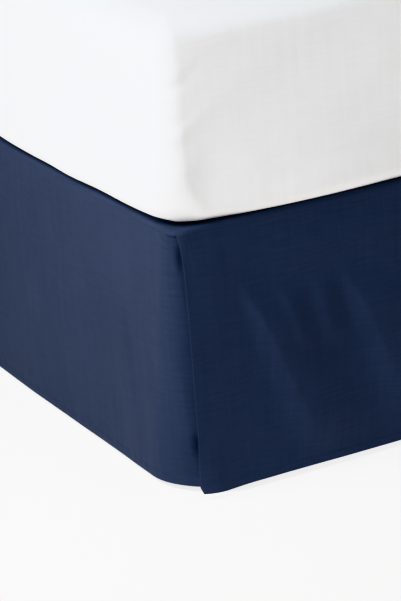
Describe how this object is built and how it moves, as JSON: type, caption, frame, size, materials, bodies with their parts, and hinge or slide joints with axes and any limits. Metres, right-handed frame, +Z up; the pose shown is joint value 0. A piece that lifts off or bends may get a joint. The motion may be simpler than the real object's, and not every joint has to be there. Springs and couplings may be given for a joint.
{
  "type": "bed skirt on a bed",
  "caption": "Tailored navy bed skirt with split, overlapped foot corners, hung between the mattress and the low box spring of a plain bed on a steel frame.",
  "frame": {"origin": "on the floor, under the middle of the bed", "axes": "+Y along the bed towards the head, -Y to the foot; +X across it, to the right of someone who looks from the foot to the head; +Z up"},
  "size_m": [1.524, 2.0366, 0.6713],
  "materials": {
    "skirt_cloth": "matte plain-woven cotton, navy, with a narrow stitched hem",
    "mattress_sheet": "smooth white sheet",
    "base_ticking": "pale grey woven ticking",
    "frame_steel": "satin black powder coat"
  },
  "bodies": {
    "root": {"deck": "skirt_cloth", "foot_panel": "skirt_cloth", "side_panel_left": "skirt_cloth", "side_panel_right": "skirt_cloth", "mattress": "mattress_sheet", "box_spring": "base_ticking", "rail_left": "frame_steel", "rail_centre": "frame_steel", "rail_right": "frame_steel", "cross_rail_foot": "frame_steel", "cross_rail_middle": "frame_steel", "cross_rail_head": "frame_steel", "leg_1": "frame_steel", "leg_2": "frame_steel", "leg_3": "frame_steel", "leg_4": "frame_steel", "leg_5": "frame_steel", "leg_6": "frame_steel", "leg_7": "frame_steel", "leg_8": "frame_steel", "leg_9": "frame_steel"}
  },
  "joints": []
}
